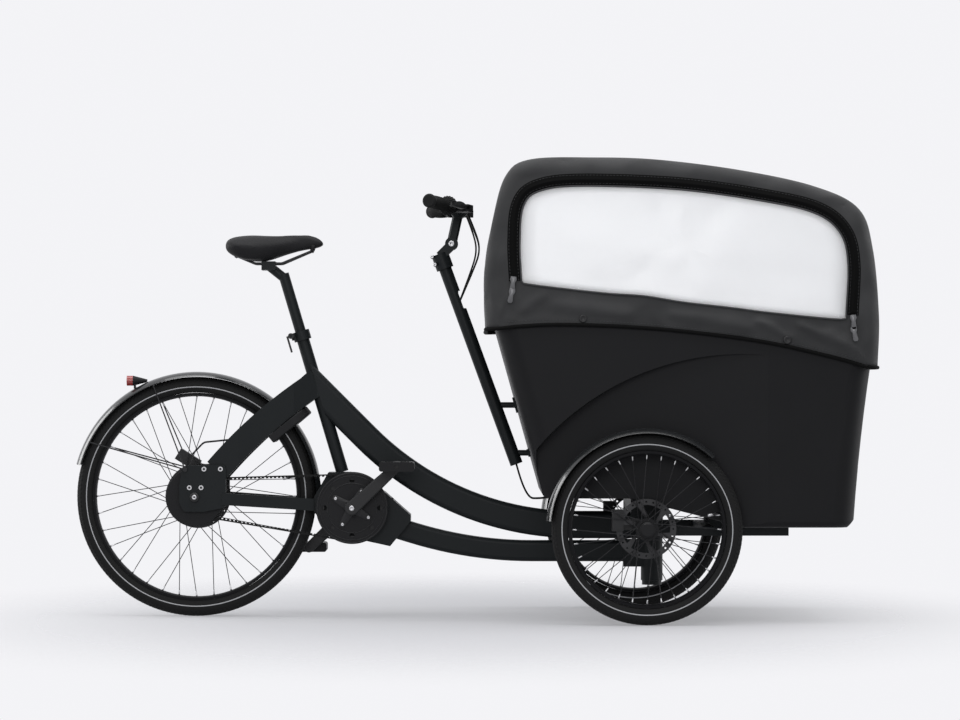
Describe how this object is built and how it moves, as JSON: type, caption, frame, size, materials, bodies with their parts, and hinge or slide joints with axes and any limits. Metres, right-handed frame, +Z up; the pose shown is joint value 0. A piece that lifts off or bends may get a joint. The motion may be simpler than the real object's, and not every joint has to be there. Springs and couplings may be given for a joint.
{
  "type": "cargo tricycle",
  "caption": "Cargo tricycle with a swivelling front carrier, moulded load box under a windowed fabric hood, belt drive with mid motor, and a low swept frame beam.",
  "frame": {"origin": "on the floor, below the middle of the length and of the width", "axes": "+X forward along the length, +Y to the rider's left, +Z up"},
  "size_m": [2.1793, 0.866, 1.243],
  "materials": {
    "frame_paint": "satin black powder coat",
    "dark_plastic": "fine grain",
    "rubber": "matte",
    "tyre_rubber": "matte with a pale reflective stripe",
    "rim_paint": "black anodised",
    "spoke_steel": "black",
    "bright_steel": "bare",
    "guard_plastic": "satin",
    "box_plastic": "satin moulded",
    "bench_board": "black coated board",
    "hood_fabric": "coated woven",
    "window_film": "clear film",
    "saddle_cover": "matte",
    "red_lens": "gloss"
  },
  "bodies": {
    "rear_frame": {"seat_tube": "frame_paint", "main_beam": "frame_paint", "lower_beam": "frame_paint", "rear_yoke": "frame_paint", "chainstays": "frame_paint", "head_tube": "frame_paint", "motor_unit": "dark_plastic", "drive_belt": "rubber", "rear_hub_cover": "dark_plastic", "seat_clamp": "frame_paint", "rear_mudguard": "guard_plastic", "rear_mudguard_stays": "spoke_steel", "tail_light_housing": "dark_plastic", "tail_light_lens": "red_lens", "rear_caliper": "rim_paint", "frame_lock": "dark_plastic", "dropout_bolts": "bright_steel", "rear_axle": "bright_steel"},
    "seat": {"seatpost": "frame_paint", "saddle_rails": "spoke_steel", "saddle": "saddle_cover"},
    "seat_lever": {"seat_lever": "rim_paint"},
    "crank": {"crank_arms": "rim_paint", "front_sprocket": "rim_paint", "sprocket_guard": "dark_plastic"},
    "pedal_right": {"pedal_right": "dark_plastic"},
    "pedal_left": {"pedal_left": "dark_plastic"},
    "rear_sprocket": {"rear_sprocket": "rim_paint"},
    "rear_wheel": {"rear_tyre": "tyre_rubber", "rear_rim": "rim_paint", "rear_spokes": "spoke_steel", "rear_hub": "rim_paint", "rear_disc": "bright_steel"},
    "front_module": {"front_carrier": "frame_paint", "cargo_box": "box_plastic", "bench": "bench_board", "battery": "dark_plastic", "canopy": "hood_fabric", "canopy_windows": "window_film", "canopy_bows": "frame_paint", "handlebar_post": "frame_paint", "stem_clamp": "frame_paint", "front_mudguards": "guard_plastic", "front_calipers": "rim_paint", "control_cables": "rubber"},
    "stem": {"stem_arm": "frame_paint", "handlebar": "frame_paint", "grips": "rubber", "lever_perches": "dark_plastic"},
    "twist_shifter": {"twist_shifter": "dark_plastic"},
    "brake_lever_right": {"brake_lever_right": "rim_paint"},
    "brake_lever_left": {"brake_lever_left": "rim_paint"},
    "wheel_right": {"front_tyre_right": "tyre_rubber", "front_rim_right": "rim_paint", "front_spokes_right": "spoke_steel", "front_hub_right": "rim_paint"},
    "wheel_left": {"front_tyre_left": "tyre_rubber", "front_rim_left": "rim_paint", "front_spokes_left": "spoke_steel", "front_hub_left": "rim_paint"}
  },
  "joints": [
    {"name": "steering", "type": "hinge", "parent": "rear_frame", "child": "front_module", "pos_m": [0.498, 0, 0.2], "axis": [0, 0, 1], "range_deg": [-35, 35]},
    {"name": "rear_wheel_spin", "type": "hinge", "parent": "rear_frame", "child": "rear_wheel", "pos_m": [-0.758, 0, 0.33], "axis": [0, 1, 0], "continuous": true},
    {"name": "crank_spin", "type": "hinge", "parent": "rear_frame", "child": "crank", "pos_m": [-0.327, 0, 0.3], "axis": [0, 1, 0], "continuous": true},
    {"name": "rear_sprocket_spin", "type": "hinge", "parent": "rear_frame", "child": "rear_sprocket", "pos_m": [-0.758, 0, 0.33], "axis": [0, 1, 0], "continuous": true},
    {"name": "pedal_right_spin", "type": "hinge", "parent": "crank", "child": "pedal_right", "pos_m": [-0.20206, -0.142, 0.41529], "axis": [0, 1, 0], "continuous": true},
    {"name": "pedal_left_spin", "type": "hinge", "parent": "crank", "child": "pedal_left", "pos_m": [-0.45193, 0.142, 0.18471], "axis": [0, 1, 0], "continuous": true},
    {"name": "seatpost_slide", "type": "slide", "parent": "rear_frame", "child": "seat", "axis": [-0.2857, 0, 0.9583], "range_m": [-0.15, 0.06]},
    {"name": "seat_lever_turn", "type": "hinge", "parent": "rear_frame", "child": "seat_lever", "pos_m": [-0.4967, -0.03, 0.772], "axis": [0, 1, 0], "range_deg": [0, 100]},
    {"name": "front_wheel_right_spin", "type": "hinge", "parent": "front_module", "child": "wheel_right", "pos_m": [0.467, -0.385, 0.254], "axis": [0, 1, 0], "continuous": true},
    {"name": "front_wheel_left_spin", "type": "hinge", "parent": "front_module", "child": "wheel_left", "pos_m": [0.467, 0.385, 0.254], "axis": [0, 1, 0], "continuous": true},
    {"name": "stem_tilt", "type": "hinge", "parent": "front_module", "child": "stem", "pos_m": [-0.0545, 0, 1.027], "axis": [0, 1, 0], "range_deg": [-20, 12], "deforming": ["control_cables"]},
    {"name": "twist_shifter_turn", "type": "hinge", "parent": "stem", "child": "twist_shifter", "pos_m": [-0.06773, -0.1773, 1.12476], "axis": [-0.3272, -0.9438, 0.0461], "range_deg": [-60, 60]},
    {"name": "brake_lever_right_pull", "type": "hinge", "parent": "stem", "child": "brake_lever_right", "pos_m": [-0.01689, -0.1653, 1.11746], "axis": [-0.0151, -0.0436, -0.9989], "range_deg": [0, 10], "stiffness_Nm_per_rad": 4, "springref_deg": -8.59},
    {"name": "brake_lever_left_pull", "type": "hinge", "parent": "stem", "child": "brake_lever_left", "pos_m": [-0.01689, 0.1653, 1.11746], "axis": [0.0151, -0.0436, 0.9989], "range_deg": [0, 10], "stiffness_Nm_per_rad": 4, "springref_deg": -8.59}
  ],
  "couplings": [
    {"joint": "rear_sprocket_spin", "follows": "crank_spin", "ratio": 1.8571}
  ]
}
